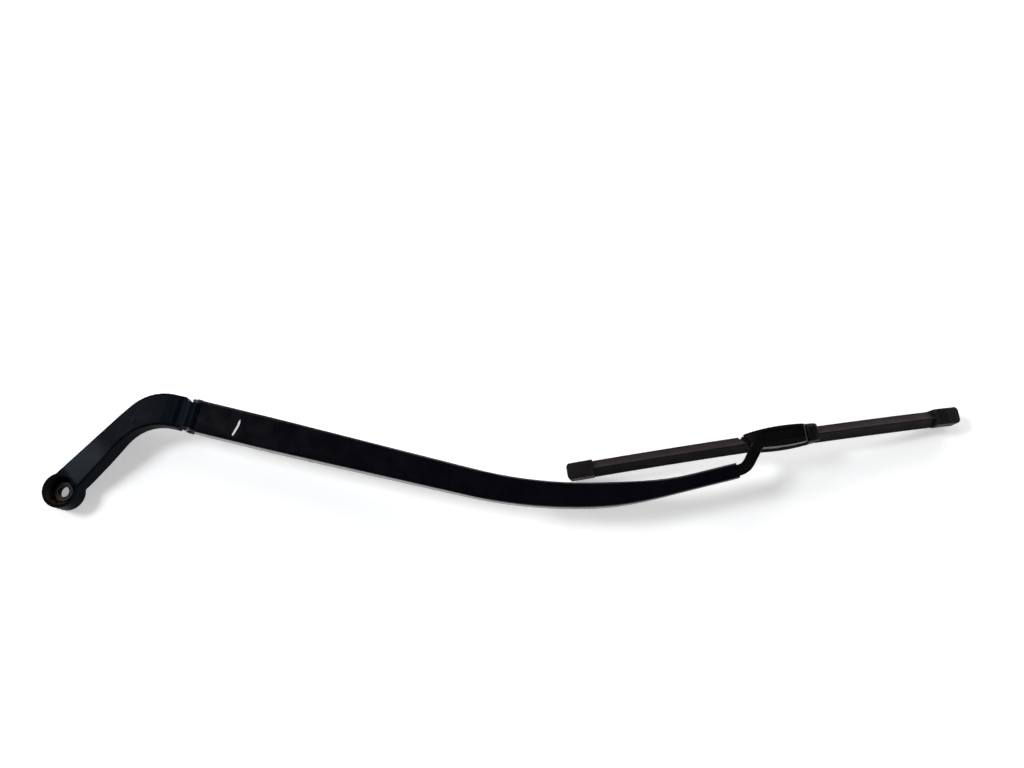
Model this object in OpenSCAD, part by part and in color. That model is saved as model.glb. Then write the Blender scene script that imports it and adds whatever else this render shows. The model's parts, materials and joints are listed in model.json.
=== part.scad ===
// Windscreen wiper arm with a flat blade, lying on its boss and on the two ends of the blade's lip
// The origin is on the spindle axis at the foot of the boss, +Z up, +X towards the blade

/* [Spindle boss] */
// Outer diameter of the boss
boss_d = 29.8; // [28:0.1:32]
// Height of the boss
boss_h = 18; // [16:0.5:20]
// Diameter of the pocket that takes the nut
pocket_d = 24.4; // [22:0.1:25.4]
// Height of the pocket's floor
floor_z = 8.6; // [7.5:0.1:9.2]
// Height of the ring that the nut bears on
seat_z = 10; // [9.4:0.1:11]
// Diameter of the ring that the nut bears on
seat_d = 16; // [14:0.5:18]
// Diameter of the spindle bore below the nut
bore_d = 9.4; // [8:0.1:10.4]
// Width of the spindle's taper at the foot of the boss
taper_d = 11.8; // [11:0.1:13]
// Height where the taper ends and the plain bore starts
taper_h = 3.5; // [2.5:0.5:5]

/* [Cast neck] */
// Direction of the neck's outer edge, from the boss
outer_angle = 42; // [38:0.5:46]
// Direction of the neck's inner edge, from the boss
inner_angle = 46.7; // [43:0.5:50]
// Distance of the inner edge from the spindle axis
inner_offset = 9; // [7:0.5:11]
// Radius of the outer edge round the elbow
outer_bend_r = 43; // [36:1:50]
// Radius of the inner edge round the elbow
inner_bend_r = 45; // [38:1:52]
// Wall of the casting, which is open below
cast_wall = 3.2; // [2.6:0.1:4]
// Rounding of the casting's top edges
cast_round = 2.4; // [1.5:0.1:3]
// Height of the crest between the boss and the elbow
crest_z = 27.5; // [25:0.5:30]

/* [Hinge] */
// Hinge pin's distance from the spindle along X
hinge_x = 112.9; // [106:0.5:120]
// Hinge pin's distance from the spindle along Y
hinge_y = 61.2; // [56:0.5:66]
// Height of the hinge pin
hinge_z = 27; // [25:0.5:30]
// Direction of the retainer at the hinge
arm_angle = -13.7; // [-18:0.2:-9]
// Diameter of the hinge pin
pin_d = 6; // [5:0.1:6.6]
// Diameter of the pin's riveted ends in the ears
rivet_d = 4.8; // [4:0.1:4.9]
// Diameter of the rivet heads
rivet_head_d = 7.6; // [6.6:0.1:9]
// Outer diameter of the bushes
bush_d = 9; // [8.4:0.1:9.4]
// Diameter of the bushes' collars
collar_d = 12; // [11:0.5:13]
// Thickness of the bushes' collars
collar_t = 1; // [0.8:0.1:1.1]
// Radius of the head's knuckle
knuckle_r = 7; // [6.4:0.1:7.2]
// Width of the slot in the knuckle for the spring's hook
slot_w = 5.6; // [4:0.2:7]

/* [Retainer] */
// Width at the hinge
arm_w = 27.5; // [26:0.1:30]
// Width where the shoulder starts
shoulder_w = 20.4; // [18:0.1:23]
// Thickness of the sheet
sheet_t = 1.5; // [1.2:0.1:1.7]
// Rounding of the long top edges
arm_round = 2.2; // [1.8:0.1:3]
// Height of the web's top above the hinge pin
web_up = 9; // [8.8:0.1:10]
// Rise of the web from the hinge to the tip
web_rise = 4; // [2:0.5:6]
// Depth of the flanges at the hinge
flange_h = 17.5; // [15:0.5:19]
// Depth of the flanges where the shoulder starts
flange_end_h = 12.5; // [10:0.5:14]
// Length of the straight run from the hinge
run_l = 241; // [230:1:255]
// Radius of the long bow
bow_r = 385; // [370:5:400]
// Angle that the bow turns through
bow_turn = 27.6; // [25:0.2:29]
// Length of the straight tip, crimped round the rod
tip_l = 38; // [34:1:44]
// Where the width starts to taper
taper_s = 70; // [40:5:100]
// Length of the shoulder, where the channel narrows to the crimp
shoulder_l = 80; // [60:5:95]

/* [Arm rod] */
// Width of the flat bar
rod_w = 9.4; // [8.4:0.1:10]
// Thickness of the flat bar
rod_t = 4; // [3.5:0.1:4.5]
// Rounding of the bar's edges
rod_round = 0.9; // [0.5:0.1:1.5]
// Distance from the retainer's tip to the first corner
lead_l = 7.4; // [7:0.1:12]
// Distance between the two corners
cross_l = 29.6; // [26:0.2:34]
// Direction of the crossing stretch
cross_angle = 60.5; // [55:0.5:66]
// Radius of the first bend
first_bend_r = 14; // [11:0.5:16]
// Radius of the second bend
second_bend_r = 10; // [8:0.5:12]
// Distance from the second corner to the bar's end
tail_l = 32.4; // [31.6:0.2:32.8]
// Diameter of the latch hole in the bar
latch_d = 4; // [3.4:0.1:4.6]

/* [Spring] */
// Diameter of the spring's wire
wire_d = 2.2; // [1.8:0.1:2.4]
// Mean diameter of the coils
coil_d = 9.2; // [8:0.1:9.6]
// Number of coils
coils = 20; // [14:1:21]
// Pitch of the coils, stretched at rest
coil_pitch = 2.65; // [2.5:0.05:2.75]
// Diameter of the two pins that hold the hooks
hook_pin_d = 3.6; // [3:0.1:4]
// Front hook pin ahead of the hinge pin
front_pin_x = 3; // [2:0.1:3.4]
// Front hook pin below the hinge pin
front_pin_drop = 9.5; // [9.2:0.1:10.5]
// Rear hook pin ahead of the hinge pin
rear_pin_x = 104; // [100:1:112]
// Rear hook pin below the hinge pin
rear_pin_drop = 3.5; // [2.5:0.1:5]

/* [Blade] */
// Direction of the blade
blade_angle = 8.4; // [5:0.2:12]
// Length of the squeegee
rubber_l = 334; // [310:1:360]
// Height of the lip's middle above its ends
blade_sag = 14; // [12:0.5:16]
// Distance from the rod's second corner to the blade's middle
blade_reach = 6.9; // [6.5:0.1:7.5]
// Distance of the blade's middle line from the bar's, on the near side
bar_side = 1.5; // [0:0.1:2]
// Distance from the blade's middle to the pivot
pivot_u = 11.7; // [11:0.1:12.4]
// Width of the spoiler
spoiler_w = 13.8; // [13:0.1:14.2]
// Height of the spoiler's ridge above the lip
ridge_h = 18.4; // [16:0.1:19]
// Distance of the ridge from the middle of the blade
ridge_off = 1.2; // [0:0.1:2]
// Length of the end caps
cap_l = 22; // [18:0.5:26]
// Width of the end caps
cap_w = 14.8; // [14.4:0.1:15.6]
// Height of the end caps' top above the lip
cap_h = 19; // [18.6:0.1:20]
// Width of one spring rail
rail_w = 4.2; // [3.6:0.1:4.4]
// Thickness of the spring rails
rail_t = 1; // [0.8:0.05:1.1]

/* [Blade mount] */
// Length of the base to the left of the blade's middle
base_left = 21.5; // [21.2:0.1:23]
// Length of the base to the right of the blade's middle
base_right = 43.3; // [42:0.1:46]
// Width of the base, which bulges in plan
base_w = 18.8; // [18:0.1:20]
// How much narrower the base is on each side at its ends
base_bulge = 3; // [2:0.1:3.4]
// Height of the raised block above the lip
block_h = 22; // [20:0.5:23]
// Diameter of the pivot pin
pivot_d = 5; // [4:0.1:5.2]
// Height of the pivot pin above the lip's middle
pivot_h = 14.6; // [14.3:0.1:15]
// Width of the base's pivot lug
lug_w = 8; // [7:0.1:8.6]
// Width of the base's ledge on the near side of the adapter
ledge_w = 1.6; // [1:0.1:2]
// End of the adapter to the left of the blade's middle
adapter_left = 21; // [20:0.1:21.2]
// How far the blade tilts each way
tilt_max = 10; // [8:0.5:10]
// Travel of the release button
button_travel = 1.4; // [1:0.1:1.5]
// Length of the release button's pad
pad_l = 3; // [2.4:0.1:3.2]
// Width of the release button's pad
pad_w = 8; // [7:0.2:8.8]

/* [Fits] */
// Gap round a pin that turns in its hole
running_gap = 0.04; // [0.02:0.01:0.06]
// Gap between faces that slide past each other
slide_gap = 0.25; // [0.2:0.05:0.3]
// Gap between pieces that are fixed together
seat_gap = 0.05; // [0.03:0.01:0.1]

/* [Hidden] */
$fn = 96;
// Overlap where two shapes of one piece run into each other
merge = 0.02;

// Plan directions and simple curves
function along(a) = [cos(a), sin(a)];
function left_of(a) = [-sin(a), cos(a)];
function mix(a, b, k) = a + (b - a) * k;
function ease(k) = let(c = min(1, max(0, k))) c * c * (3 - 2 * c);
function arc_deg(l, r) = l / r * 180 / PI;

// Retainer's middle line in plan, from the hinge pin, s along it
bow_l = bow_r * bow_turn * PI / 180;
arm_l = run_l + bow_l + tip_l;
crimp_s = run_l + bow_l;
shoulder_s = crimp_s - shoulder_l;
function path_turn(s) = bow_turn * min(1, max(0, (s - run_l) / bow_l));
function path_point(s) =
  s < run_l ? [s, 0]
  : let(
      a = path_turn(s),
      on_bow = [run_l + bow_r * sin(a), bow_r * (1 - cos(a))],
      past = max(0, s - run_l - bow_l)
    ) on_bow + past * along(a);
function arm_half(s) =
  (s < shoulder_s
    ? mix(arm_w, shoulder_w, max(0, (s - taper_s) / (shoulder_s - taper_s)))
    : mix(shoulder_w, tip_w, ease((s - shoulder_s) / (crimp_s - shoulder_s)))) / 2;
function web_top(s) = web_up + web_rise * ease((s - taper_s) / (crimp_s - taper_s));
function flange_depth(s) =
  s < shoulder_s
  ? mix(flange_h, flange_end_h, ease((s - taper_s) / (shoulder_s - taper_s)))
  : mix(flange_end_h, crimp_depth, ease((s - shoulder_s) / (crimp_s - shoulder_s)));

// Rod inside the crimp
rod_side_gap = 0.2;
tip_w = rod_w + 2 * sheet_t + 2 * rod_side_gap;
crimp_depth = 2 * sheet_t + rod_t + seat_gap;
rod_top = web_up + web_rise - sheet_t;
rod_z = rod_top - rod_t / 2;
rod_inside = tip_l - 2;
lip_reach = 2.6;
tip_point = path_point(arm_l);
rod_start = path_point(arm_l - rod_inside);
first_corner = tip_point + lead_l * along(bow_turn);
cross_dir = cross_angle - arm_angle;
tail_dir = blade_angle - arm_angle;
second_corner = first_corner + cross_l * along(cross_dir);
second_turn = cross_dir - tail_dir;

// Ears and knuckle
ear_r = 6.3;
web_start = 5;
ear_in = arm_w / 2 - sheet_t;
knuckle_half = ear_in - collar_t - slide_gap;
shoulder_gap = 11;
ramp_start = 15.5;
ramp_foot = 8.6;
head_up = 8;
tongue_root = 26;
shoulder_inset = 0.5;
ramp_drop = head_up - 4.4;
front_pin_r = hook_pin_d / 2 + 2.4;

// Cast neck's two edges in plan, from the spindle axis
hinge_at = [hinge_x, hinge_y];
shoulder_at = hinge_at - shoulder_gap * along(arm_angle);
outer_end = shoulder_at + arm_w / 2 * left_of(arm_angle);
inner_end = shoulder_at - arm_w / 2 * left_of(arm_angle);
outer_inset = 0.2;
outer_start = (boss_d / 2 - outer_inset) * left_of(outer_angle);
inner_start = -inner_offset * left_of(inner_angle);
// Crossing of a line through p at angle a with a line through q at angle b
function crossing(p, a, q, b) =
  p + along(a) * ((q - p) * left_of(b)) / (along(a) * left_of(b));
// Point k of 0 to 1 along a line, an arc of radius r and a second line
function edge_point(p, a, q, b, r, k) =
  let(
    c = crossing(p, a, q, b),
    t = r * tan((a - b) / 2),
    k_arc = 0.45,
    k_line = 0.92,
    arc_start = c - t * along(a),
    arc_end = c + t * along(b),
    centre = arc_start - r * left_of(a)
  )
  k < k_arc ? mix(p, arc_start, k / k_arc)
  : k < k_line ? centre + r * left_of(mix(a, b, (k - k_arc) / (k_line - k_arc)))
  : mix(arc_end, q, (k - k_line) / (1 - k_line));
function outer_edge(k) = edge_point(outer_start, outer_angle, outer_end, arm_angle, outer_bend_r, k);
function inner_edge(k) = edge_point(inner_start, inner_angle, inner_end, arm_angle, inner_bend_r, k);
neck_start_z = boss_h - 1.4;
neck_end_z = hinge_z + head_up;
crest_k = 0.4;
function neck_top(k) =
  k < crest_k ? mix(neck_start_z, crest_z, k / crest_k)
  : mix(crest_z, neck_end_z, (k - crest_k) / (1 - crest_k));
foot_start_z = 0.8;
foot_end_z = hinge_z + web_up - flange_h;
function neck_foot(k) = mix(foot_start_z, foot_end_z, ease((k - 0.1) / 0.8));

// Ring of an open channel: middle c, direction e across it, in plan
function channel_ring(c, e, half, top, depth, wall, r) =
  let(
    r_in = max(0.4, r - wall),
    low = top - depth,
    outer = concat(
      [[-half, low]],
      [for (a = [180:-30:90]) [-half + r + r * cos(a), top - r + r * sin(a)]],
      [for (a = [90:-30:0]) [half - r + r * cos(a), top - r + r * sin(a)]],
      [[half, low]]
    ),
    inner = concat(
      [[half - wall, low]],
      [for (a = [0:30:90]) [half - wall - r_in + r_in * cos(a), top - wall - r_in + r_in * sin(a)]],
      [for (a = [90:30:180]) [wall + r_in - half + r_in * cos(a), top - wall - r_in + r_in * sin(a)]],
      [[wall - half, low]]
    )
  ) [for (q = concat(outer, inner)) [c.x + e.x * q.x, c.y + e.y * q.x, q.y]];
// Skin through closed rings that all have the same even number of points. An end is closed
// by strips between the first half of its ring and the second half, taken backwards.
module loft(rings) {
  n = len(rings[0]);
  top = (len(rings) - 1) * n;
  sides = [
    for (i = [0:len(rings) - 2], j = [0:n - 1])
      let(a = i * n + j, b = i * n + (j + 1) % n)
        each [[a, b + n, b], [a, a + n, b + n]]
  ];
  ends = [
    for (i = [0:n / 2 - 2])
      let(a = i, b = i + 1, c = n - 2 - i, d = n - 1 - i)
        each [[a, b, c], [a, c, d], [top + c, top + b, top + a], [top + d, top + c, top + a]]
  ];
  polyhedron(points = [for (r = rings) each r], faces = concat(sides, ends), convexity = 8);
}

// Frames: the arm's at the hinge pin, the blade's on the table under the blade's middle
module in_arm() {
  translate([hinge_x, hinge_y, hinge_z]) rotate([0, 0, arm_angle]) children();
}
module in_blade() {
  in_arm()
    translate([second_corner.x, second_corner.y, -hinge_z])
      rotate([0, 0, tail_dir]) translate([blade_reach, -bar_side, 0]) children();
}
// A cylinder across the arm or the blade, from y0 to y1
module cross_pin(r, y0, y1) {
  translate([0, y1, 0]) rotate([90, 0, 0]) cylinder(r = r, h = y1 - y0);
}
// A side view's outline made into a plate from y0 to y1
module side_plate(y0, y1) {
  translate([0, y1, 0]) rotate([90, 0, 0]) linear_extrude(y1 - y0) children();
}

// Half an outline on the far side of the middle line, joined to its mirror image
module both_ways(half) {
  polygon(concat(half, [for (i = [len(half) - 1:-1:0]) [half[i].x, -half[i].y]]));
}

// Mounting head, one casting
module neck_shell() {
  rings = [
    for (k = [0, 0.15, 0.3, crest_k, 0.45, 0.5, 0.56, 0.62, 0.68, 0.74, 0.8, 0.86, 0.92, 1])
      let(
        u = outer_edge(k),
        v = inner_edge(k),
        across = (v - u) / norm(v - u)
      )
      channel_ring((u + v) / 2, across, norm(v - u) / 2, neck_top(k), neck_top(k) - neck_foot(k),
                   cast_wall, cast_round)
  ];
  loft(rings);
}
module tongue() {
  lug_low = -front_pin_drop - front_pin_r;
  cross_pin(knuckle_r, -knuckle_half, knuckle_half);
  translate([front_pin_x, 0, -front_pin_drop]) cross_pin(front_pin_r, -knuckle_half, knuckle_half);
  side_plate(-knuckle_half, knuckle_half)
    polygon([
      [-tongue_root, head_up - 1], [-ramp_start, head_up], [-ramp_foot, head_up - ramp_drop],
      [-knuckle_r * cos(40), knuckle_r * sin(40)], [knuckle_r - 2, 0],
      [front_pin_x + front_pin_r * cos(20), -front_pin_drop + front_pin_r * sin(20)],
      [front_pin_x, lug_low], [-ramp_foot, lug_low + 2], [-tongue_root, web_up - flange_h]
    ]);
}
module mounting_head() {
  color([0.09, 0.10, 0.12])
    difference() {
      union() {
        cylinder(d = boss_d, h = boss_h);
        neck_shell();
        in_arm() {
          tongue();
          // Shoulders that narrow in between the ears
          translate([0, 0, web_up - flange_h + shoulder_inset])
            linear_extrude(flange_h - web_up + head_up - ramp_drop - 2 * shoulder_inset)
              both_ways([
                [-shoulder_gap - 4, arm_w / 2 - shoulder_inset],
                [-shoulder_gap, arm_w / 2 - shoulder_inset],
                [shoulder_inset - ramp_foot, knuckle_half - shoulder_inset]
              ]);
        }
      }
      // Nut pocket with the raised ring that the nut bears on
      difference() {
        translate([0, 0, floor_z]) cylinder(d = pocket_d, h = boss_h * 2);
        translate([0, 0, floor_z - 1]) cylinder(d = seat_d, h = seat_z - floor_z + 1);
      }
      translate([0, 0, taper_h - 1]) cylinder(d = bore_d, h = boss_h);
      translate([0, 0, -merge])
        cylinder(d1 = taper_d, d2 = bore_d, h = taper_h + merge);
      in_arm() {
        cross_pin(bush_d / 2 + seat_gap, -arm_w, arm_w);
        // Ramp down to the knuckle, right across the casting
        side_plate(-arm_w, arm_w)
          polygon([
            [-ramp_start, head_up], [-ramp_foot, head_up - ramp_drop],
            [-ramp_foot, head_up + cast_wall], [-ramp_start, head_up + cast_wall]
          ]);
        // Slot that the spring's front hook swings in, open ahead of the pin only above it
        side_plate(-slot_w / 2, slot_w / 2)
          polygon([
            [2 - knuckle_r, -hinge_z], [hinge_z, -hinge_z], [hinge_z, hinge_z], [pin_d / 2, hinge_z],
            [pin_d / 2, 0.5], [2 - knuckle_r, 0.5]
          ]);
        translate([front_pin_x, 0, -front_pin_drop])
          cross_pin(hook_pin_d / 2 + seat_gap, -arm_w, arm_w);
      }
    }
}

// Hinge
module hinge_bush(side) {
  in_arm()
    mirror([0, side < 0 ? 1 : 0, 0])
      difference() {
        union() {
          cross_pin(bush_d / 2, slot_w / 2 + slide_gap, knuckle_half);
          cross_pin(collar_d / 2, knuckle_half, knuckle_half + collar_t);
        }
        cross_pin(pin_d / 2 + running_gap, 0, arm_w);
      }
}
module hinge_bush_near() { color([0.55, 0.52, 0.42]) hinge_bush(-1); }
module hinge_bush_far() { color([0.55, 0.52, 0.42]) hinge_bush(1); }
module hinge_pin() {
  shank_end = ear_in - seat_gap;
  head_t = 1.1;
  color([0.45, 0.46, 0.48])
    in_arm() {
      cross_pin(pin_d / 2, -shank_end, shank_end);
      cross_pin(rivet_d / 2, -arm_w / 2 - merge, arm_w / 2 + merge);
      for (m = [0, 1])
        mirror([0, m, 0])
          translate([0, arm_w / 2, 0]) rotate([-90, 0, 0])
            cylinder(d1 = rivet_head_d, d2 = rivet_head_d - 1.6, h = head_t);
    }
}
module hook_pin(half) {
  color([0.45, 0.46, 0.48]) cross_pin(hook_pin_d / 2, -half, half);
}
module spring_front_pin() {
  in_arm() translate([front_pin_x, 0, -front_pin_drop]) hook_pin(knuckle_half - 0.5);
}
module spring_rear_pin() {
  in_arm() translate([rear_pin_x, 0, -rear_pin_drop]) hook_pin(arm_half(rear_pin_x) - 0.3);
}

// Retainer, a pressed channel crimped round the rod
module retainer() {
  run_step = 22;
  bow_step = 11;
  stations = concat(
    [web_start, taper_s],
    [for (s = [taper_s + run_step:run_step:run_l - run_step / 2]) s],
    [for (s = [run_l:bow_step:arm_l - bow_step / 2]) s],
    [arm_l]
  );
  rings = [
    for (s = stations)
      channel_ring(path_point(s), -left_of(path_turn(s)), arm_half(s), web_top(s), flange_depth(s),
                   sheet_t, arm_round)
  ];
  color([0.04, 0.04, 0.05])
    in_arm()
      difference() {
        union() {
          loft(rings);
          for (m = [0, 1])
            mirror([0, m, 0])
              side_plate(ear_in, arm_w / 2) {
                circle(r = ear_r);
                polygon([
                  [0, ear_r], [web_start + 2, web_up - arm_round],
                  [web_start + 2, web_up - flange_h], [0, -ear_r]
                ]);
              }
          // Lips of the flanges, folded in under the rod
          for (m = [-1, 1])
            translate([tip_point.x, tip_point.y, rod_top - rod_t - seat_gap - sheet_t])
              rotate([0, 0, bow_turn])
                translate([1.5 - tip_l, m > 0 ? tip_w / 2 - sheet_t - lip_reach : -tip_w / 2 + merge, 0])
                  cube([tip_l - 2.5, sheet_t + lip_reach - merge, sheet_t]);
        }
        cross_pin(rivet_d / 2 + seat_gap, -arm_w, arm_w);
        translate([rear_pin_x, 0, -rear_pin_drop])
          cross_pin(hook_pin_d / 2 + seat_gap, -arm_w, arm_w);
      }
}

// Tension spring from the front hook pin to the rear one
module tension_spring() {
  from = [front_pin_x, -front_pin_drop];
  to = [rear_pin_x, -rear_pin_drop];
  span = norm(to - from);
  lean = atan2(to.y - from.y, to.x - from.x);
  hook_r = hook_pin_d / 2 + wire_d / 2 + 0.1;
  coil_l = coils * coil_pitch;
  coil_x = (span - coil_l) / 2 + 10;
  coil_z = 5;
  coil_step = 30;
  wire_sides = 6;
  // Each entry is a point of the wire and a direction that points away from the bend's middle
  wire = concat(
    [for (a = [45:37.5:270]) [hook_r * [cos(a), 0, sin(a)], [cos(a), 0, sin(a)]]],
    [[[coil_x - 4, 0, coil_z - coil_d / 2 - 0.5], [0, 0, -1]]],
    [
      for (a = [0:coil_step:360 * coils])
        let(out = [0, sin(a), -cos(a)])
        [[coil_x + coil_pitch * a / 360, 0, coil_z] + coil_d / 2 * out, out]
    ],
    [[[coil_x + coil_l + 4, 0, coil_z - coil_d / 2 - 0.5], [0, 0, -1]]],
    [for (a = [270:37.5:495]) [[span, 0, 0] + hook_r * [cos(a), 0, sin(a)], [cos(a), 0, sin(a)]]]
  );
  last = len(wire) - 1;
  rings = [
    for (i = [0:last])
      let(
        run = wire[min(last, i + 1)][0] - wire[max(0, i - 1)][0],
        t = run / norm(run),
        away = wire[i][1] - (wire[i][1] * t) * t,
        n = away / norm(away),
        b = cross(t, n)
      )
      [
        for (j = [0:wire_sides - 1])
          let(a = 360 * j / wire_sides) wire[i][0] + wire_d / 2 * (cos(a) * n + sin(a) * b)
      ]
  ];
  color([0.35, 0.35, 0.36])
    in_arm() translate([from.x, 0, from.y]) rotate([0, -lean, 0]) loft(rings);
}

// Arm rod, a flat bar with two bends
latch_back = 7.3;
latch_depth = 2;
// Ring of the bar's section at p, with the bar heading in direction a
function bar_ring(p, a) =
  let(
    w = rod_w / 2 - rod_round,
    t = rod_t / 2 - rod_round,
    corners = [[-w, -t, 180], [-w, t, 90], [w, t, 0], [w, -t, -90]]
  )
  [
    for (c = corners, turn = [90:-45:0])
      let(
        across = c.x + rod_round * cos(c.z + turn),
        up = c.y + rod_round * sin(c.z + turn)
      )
      [p.x - left_of(a).x * across, p.y - left_of(a).y * across, rod_z + up]
  ];
// Rings round a bend of radius r at corner c, from direction a to direction b
function bend_rings(c, a, b, r) =
  let(
    sign = b > a ? 1 : -1,
    start = c - r * tan(abs(b - a) / 2) * along(a),
    centre = start + sign * r * left_of(a),
    steps = 8
  )
  [
    for (i = [0:steps])
      let(d = mix(a, b, i / steps)) bar_ring(centre - sign * r * left_of(d), d)
  ];
module arm_rod() {
  hole = second_corner + (tail_l - latch_back) * along(tail_dir);
  rings = concat(
    [bar_ring(rod_start, bow_turn)],
    bend_rings(first_corner, bow_turn, cross_dir, first_bend_r),
    bend_rings(second_corner, cross_dir, tail_dir, second_bend_r),
    [bar_ring(second_corner + tail_l * along(tail_dir), tail_dir)]
  );
  color([0.05, 0.05, 0.06])
    in_arm()
      difference() {
        loft(rings);
        translate([hole.x, hole.y, rod_z - rod_t / 2 - 1]) cylinder(d = latch_d, h = latch_depth + 1);
      }
}

// Blade: everything follows the arc that the spring rails give it
lip_r = (rubber_l * rubber_l / 4 + blade_sag * blade_sag) / (2 * blade_sag);
module along_blade(u0, u1) {
  translate([0, 0, blade_sag - lip_r])
    rotate([-90, 0, 0]) rotate([0, 0, arc_deg(u0, lip_r) - 90])
      rotate_extrude(angle = arc_deg(u1 - u0, lip_r), $fn = 720)
        translate([lip_r, 0]) mirror([1, -1]) children();
}
rail_h = 7.65;
rail_in = 0.85;
rail_out = rail_in + rail_w;
flange_top = rail_h + rail_t + seat_gap + 1.3;
way_gap = 0.1;
grip_low = 6.4;
cap_wall = 1.5;
rubber_end = rubber_l / 2;
// Way through a piece for the rails and the squeegee's head
module rail_way() {
  translate([-rail_out - way_gap, rail_h - way_gap])
    square([2 * (rail_out + way_gap), rail_t + 2 * way_gap]);
  translate([-3.1, 0]) square([6.2, flange_top + 2 * way_gap]);
}
module both_sides(half_outline) {
  polygon(concat(half_outline, [
    for (i = [len(half_outline) - 1:-1:0]) [-half_outline[i].x, half_outline[i].y]
  ]));
}
module wiper_rubber() {
  lower = rail_h - seat_gap;
  upper = rail_h + rail_t + seat_gap;
  half = [
    [0.4, 0], [0.45, 3], [0.9, 3.5], [2.3, 4.7], [2.3, 5.3], [0.55, 5.6], [0.55, 6.2],
    [2.8, 6.5], [2.8, lower], [rail_in - seat_gap, lower], [rail_in - seat_gap, upper],
    [2.6, upper], [2.6, flange_top - 0.3], [2.2, flange_top]
  ];
  color([0.06, 0.06, 0.06])
    in_blade() along_blade(-rubber_end, rubber_end) both_sides(half);
}
module rail(side) {
  color([0.5, 0.5, 0.52])
    in_blade()
      along_blade(-rubber_end + 1.2, rubber_end - 1.2)
        translate([side > 0 ? rail_in : -rail_out, rail_h]) square([rail_w, rail_t]);
}
module rail_near() { rail(-1); }
module rail_far() { rail(1); }
module spoiler(u0, u1) {
  side = spoiler_w / 2;
  foot = 9.6;
  flat = 0.45;
  // Hollow faces of the spoiler, from the foot to the ridge
  function face(x0, k) = [
    mix(x0, -ridge_off + (x0 > 0 ? flat : -flat), k), mix(foot, ridge_h, k * (0.62 + 0.38 * k))
  ];
  steps = [for (k = [0:0.125:1]) k];
  color([0.17, 0.15, 0.14])
    in_blade()
      along_blade(u0, u1)
        difference() {
          polygon(concat(
            [[side - 0.5, grip_low], [side, grip_low + 0.5]],
            [for (k = steps) face(side, k)],
            [for (i = [len(steps) - 1:-1:0]) face(-side, steps[i])],
            [[-side, grip_low + 0.5], [0.5 - side, grip_low]]
          ));
          rail_way();
        }
}
spoiler_gap = 1.2;
cap_in = rubber_end + cap_wall - cap_l;
module spoiler_inner() { spoiler(-cap_in + seat_gap, -base_left - spoiler_gap); }
module spoiler_outer() { spoiler(base_right + spoiler_gap, cap_in - seat_gap); }
module end_cap(side) {
  half = cap_w / 2;
  low = 5.9;
  edge = 1;
  outline = [
    [half - edge, low], [half, low + edge], [half - 0.5, cap_h - edge], [half - 0.5 - edge, cap_h]
  ];
  u_end = rubber_end + cap_wall;
  ribs = 4;
  color([0.10, 0.10, 0.10])
    in_blade()
      mirror([side < 0 ? 1 : 0, 0, 0])
        difference() {
          along_blade(cap_in, u_end) both_sides(outline);
          along_blade(cap_in - 1, rubber_end + 0.1) rail_way();
          // Grip grooves across the top
          for (i = [0:ribs - 1])
            along_blade(cap_in + 2 + 2.4 * i, cap_in + 2.9 + 2.4 * i)
              translate([-half, cap_h - 0.5]) square([cap_w, 2]);
          // Rounded end
          along_blade(u_end - 1.2, u_end + 1)
            translate([-half, cap_h - 1.4]) square([cap_w, 2]);
        }
}
module end_cap_inner() { end_cap(-1); }
module end_cap_outer() { end_cap(1); }

// Blade's base with the pivot lug
base_top = flange_top + 1.4;
pivot_z = blade_sag + pivot_h;
bulge_u = 10;
bulge_l = 33;
// Half the width of the base in plan
function plan_half(u) = base_w / 2 - base_bulge * pow((u - bulge_u) / bulge_l, 2);
// Height of the lip, that much from the blade's middle
function lip_z(u) = blade_sag - lip_r + sqrt(lip_r * lip_r - u * u);
// Ring from half an outline, low to high, at u along the blade
function half_ring(u, half) = concat(
  [for (q = half) [u, q.x, lip_z(u) + q.y]],
  [for (i = [len(half) - 1:-1:0]) [u, -half[i].x, lip_z(u) + half[i].y]]
);
module blade_base() {
  lug_r = pivot_d / 2 + 1.3;
  end_in = 1.6;
  stations = [-base_left, -base_left + 2, -14, -6, 2, 10, 18, 26, 34, base_right - 3, base_right];
  last = len(stations) - 1;
  block_start = adapter_right + block_gap;
  block_end = base_right - 0.5;
  // Each entry is a place along the block, how much narrower it is there and how much lower
  block = [
    [block_start, 0.5, 0.6], [block_start + 1.2, 0, 0], [block_end - 4, 0, 0.3],
    [block_end - 1.4, 0.7, 1.1], [block_end, 2, 2.6]
  ];
  color([0.20, 0.19, 0.17])
    in_blade()
      difference() {
        union() {
          difference() {
            union() {
              loft([
                for (i = [0:last])
                  let(
                    u = stations[i],
                    half = plan_half(u) - (i == 0 || i == last ? end_in : 0)
                  )
                  half_ring(u, [
                    [half - 2.6, grip_low - 0.4], [half, grip_low + 2], [half, base_top - 1.6],
                    [half - 1.1, base_top]
                  ])
              ]);
              loft([
                for (q = block)
                  let(half = plan_half(q[0]) - 0.6 - q[1], high = block_h - q[2])
                  half_ring(q[0], [
                    [half, base_top - 2], [half, high - 3.4], [half - 0.8, high - 1], [half - 2.6, high]
                  ])
              ]);
            }
            along_blade(-base_left - 1, base_right + 1) rail_way();
          }
          side_plate(-lug_w / 2, lug_w / 2) {
            translate([pivot_u, pivot_z]) circle(r = lug_r);
            translate([pivot_u - lug_r, blade_sag + base_top - 1])
              square([2 * lug_r, pivot_h - base_top + 1]);
          }
        }
        translate([pivot_u, 0, pivot_z]) cross_pin(pivot_d / 2 + seat_gap, -base_w, base_w);
      }
}
module blade_pivot_pin() {
  color([0.5, 0.5, 0.52])
    in_blade()
      translate([pivot_u, 0, pivot_z])
        cross_pin(pivot_d / 2, 0.5 - near_half(pivot_u), far_half(pivot_u) - 0.5);
}

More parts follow.
